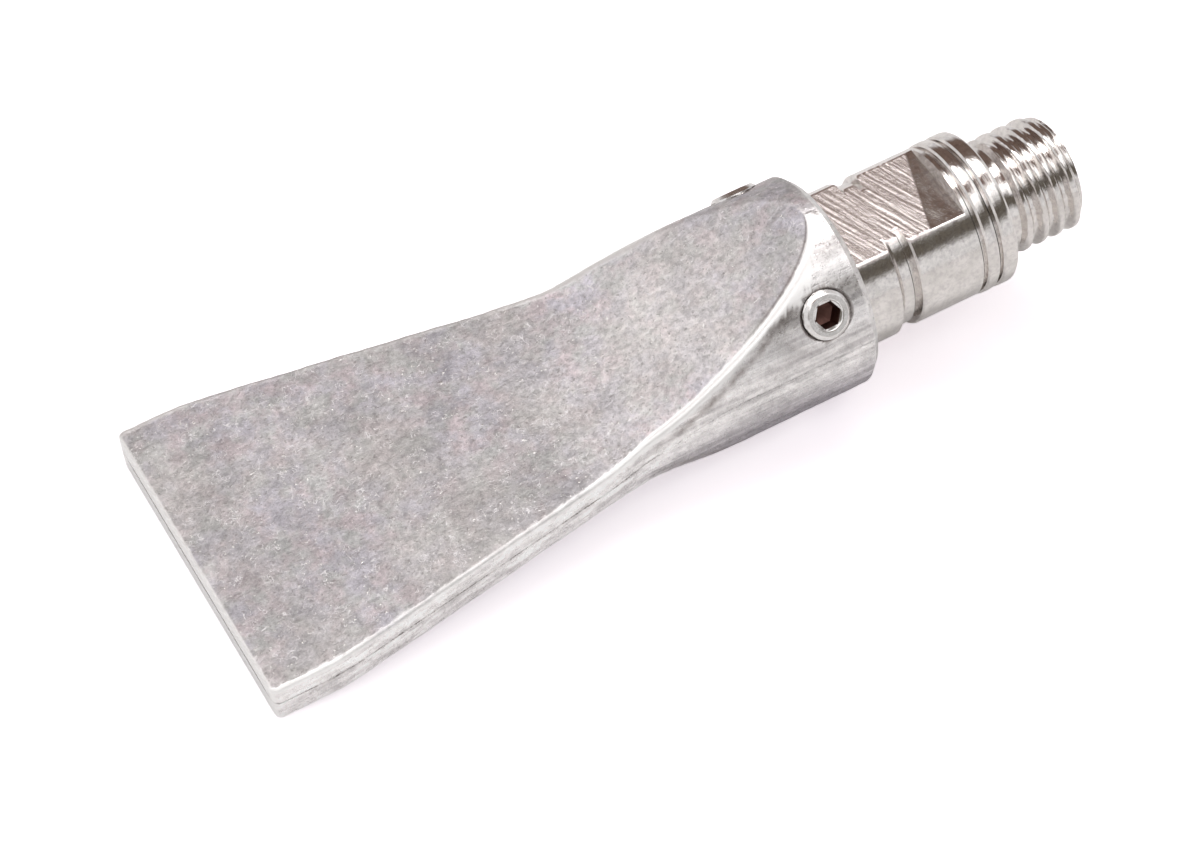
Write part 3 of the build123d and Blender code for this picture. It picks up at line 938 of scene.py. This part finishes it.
def roughen(shell):
    """Moves the outer faces a few hundredths of a millimetre, as a casting's skin is uneven."""
    points = vertices_mm(shell)
    normals = np.zeros(len(points) * 3)
    shell.data.vertices.foreach_get("normal", normals)
    shift = [0.03 * noise.noise(Vector(p * 0.45)) + 0.016 * noise.noise(Vector(p * 2.1)) for p in points]
    polish_and_highlight = np.zeros(len(points), np.float32)
    shell.data.attributes["polish_and_highlight"].data.foreach_get("value", polish_and_highlight)
    inside = np.hypot(points[:, 1], points[:, 2]) < SOCKET_RADIUS + 0.3
    inside &= points[:, 0] > SOCKET_END - 1
    keep = (1 - 0.7 * polish_and_highlight) * ~inside
    moved = points + normals.reshape(-1, 3) * (np.array(shift) * keep)[:, None]
    shell.data.vertices.foreach_set("co", (moved * MM).ravel())
    shell.data.update()


def mark_stem(bar):
    """A mask for the milled part of the spanner flats."""
    x, y, z = vertices_mm(bar).T
    flat = (np.abs(z) < FLAT_HEIGHT + 0.01) & (np.abs(z) > FLAT_HEIGHT - 0.2)
    flat &= (x > COLLAR_END) & (x < FLAT_START)
    store_mask(bar, "milled", flat * (x < facet_line(y)))


def build_head(material):
    """Both castings, each in place of its CAD shell."""
    for name, node, side in (("upper_casting", "upper_shell", 1), ("lower_casting", "lower_shell", -1)):
        shell = casting(name, side)
        if side > 0:
            cut_holes(shell)
        mark_casting(shell)
        roughen(shell)
        dress(shell, material)
        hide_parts(node)
        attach(shell, "head")


def build_stem(material):
    """The stem with its thread, grooves and flats, in place of the CAD adapter."""
    bar = stem()
    mark_stem(bar)
    dress(bar, material)
    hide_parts("stem_adapter")
    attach(bar, "stem")


def round_screw(piece, joint):
    """Each vertex's distance from a screw's axis, and its height along that axis."""
    local = clamp_place(joint).inverted()
    local.translation *= 1 / MM
    points = vertices_mm(piece) @ np.array(local.to_3x3()).T + np.array(local.translation)
    return np.hypot(points[:, 0], points[:, 1]), points[:, 2]


def mark_screw(screw, joint):
    """A mask for the walls and the floor of the hex socket, where shade is painted."""
    radius, height = round_screw(screw, joint)
    in_hex = radius < HEX_ACROSS_FLATS / math.sqrt(3) + 0.02
    store_mask(screw, "socket", in_hex * smooth_step(0.12, 0.4, SCREW_OUTER - height))


def build_screws(material):
    """Both set screws, each in place of its CAD screw."""
    for hand in ("left", "right"):
        screw = set_screw(f"{hand}_grub_screw", f"{hand}_screw_turn")
        mark_screw(screw, f"{hand}_screw_turn")
        dress(screw, material)
        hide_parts(f"{hand}_set_screw")
        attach(screw, f"{hand}_screw")


def dress_cad_nodes(materials):
    """The hidden pieces keep their CAD shapes and get their own materials."""
    for name, material in materials.items():
        dress(frame["nodes"][name], material)


# ---------------------------------------------------------------- studio


def floor(material):
    """A wide floor that touches the boss and the lip, and tips down when the head is turned."""
    mesh = bpy.data.meshes.new("floor")
    half = FLOOR_HALF_SIZE
    corners = [(-half, -half, 0), (half, -half, 0), (half, half, 0), (-half, half, 0)]
    mesh.from_pydata(corners, [], [(0, 1, 2, 3)])
    ground = bpy.data.objects.new("floor", mesh)
    bpy.context.scene.collection.objects.link(ground)
    dress(ground, material)
    ground.location = (RAMP_TOP_X * MM, 0, -(BOSS_RADIUS + FLOOR_GAP) * MM)
    ground.rotation_mode = "XYZ"
    driver = ground.driver_add("rotation_euler", 1).driver
    turn = driver.variables.new()
    turn.name = "turn"
    turn.type = "TRANSFORMS"
    turn.targets[0].id = frame["bodies"]["head"]
    turn.targets[0].transform_type = "ROT_X"
    reach = RAMP_TOP_X - LIP_X
    lip_drop = f"{LIP_HALF_WIDTH:.4f} * abs(sin(turn)) + {FAN_HALF_THICKNESS} * abs(cos(turn))"
    driver.expression = f"atan(({BOSS_RADIUS:.4f} - ({lip_drop})) / {reach:.4f})"


def area_light(name, location_mm, target_mm, size_mm, power):
    """A rectangular light that shines from one place towards another."""
    light = bpy.data.lights.new(name, "AREA")
    light.shape = "RECTANGLE"
    light.size, light.size_y = size_mm[0] * MM, size_mm[1] * MM
    light.energy = power
    lamp = bpy.data.objects.new(name, light)
    lamp.location = Vector(location_mm) * MM
    lamp.rotation_euler = (Vector(target_mm) - Vector(location_mm)).to_track_quat("-Z", "Y").to_euler()
    bpy.context.scene.collection.objects.link(lamp)


def world():
    """A light tent: bright overhead, with warm dark openings round it that bright metal picks up.

    The camera itself sees plain white.
    """
    made = bpy.data.worlds.new("studio")
    made.use_nodes = True
    tree = made.node_tree
    direction = add(tree, "ShaderNodeTexCoord").outputs["Generated"]
    parts = add(tree, "ShaderNodeSeparateXYZ", {"Vector": direction}).outputs
    overhead = map_range(tree, parts["Z"], 0.72, 0.90)
    colour = mix_colour(tree, overhead, TENT_SIDE, TENT_TOP)
    for edges, dark in TENT_OPENINGS:
        inside = 1.0
        for axis, start, end in edges:
            inside = multiply(tree, inside, map_range(tree, parts[axis], start, end))
        colour = mix_colour(tree, inside, colour, dark)
    seen = add(tree, "ShaderNodeLightPath").outputs["Is Camera Ray"]
    colour = mix_colour(tree, seen, colour, (1, 1, 1, 1))
    tree.links.new(colour, tree.nodes["Background"].inputs["Color"])
    bpy.context.scene.world = made


def camera():
    """Above the left side, looking down at the middle of the head with a long lens."""
    place, target = Vector(CAMERA_PLACE) * MM, Vector(CAMERA_TARGET) * MM
    lens = bpy.data.cameras.new("camera")
    lens.lens, lens.sensor_width = CAMERA_LENS, CAMERA_SENSOR
    lens.clip_start, lens.clip_end = 0.01, 20.0
    made = bpy.data.objects.new("camera", lens)
    made.location = place
    level = (target - place).to_track_quat("-Z", "Y")
    roll = Matrix.Rotation(CAMERA_ROLL, 3, "Z")
    made.rotation_euler = (level.to_matrix() @ roll).to_euler()
    bpy.context.scene.collection.objects.link(made)
    bpy.context.scene.camera = made


def studio():
    """The floor, the light tent, one soft key light and the camera."""
    floor(pale_floor())
    world()
    area_light("key", KEY_PLACE, KEY_TARGET, KEY_SIZE, KEY_POWER)
    camera()
    bpy.context.scene.view_settings.view_transform = "Standard"


alloy, nickel, steel = cast_alloy(), bright_nickel(), screw_steel()
brass, rubber = turned_brass(), seal_rubber()
build_head(alloy)
build_stem(nickel)
build_screws(steel)
dress_cad_nodes({
    "left_thrust_pad": brass, "right_thrust_pad": brass,
    "inner_o_ring": rubber, "outer_o_ring": rubber,
    "left_dowel_pin": steel, "right_dowel_pin": steel,
})
studio()
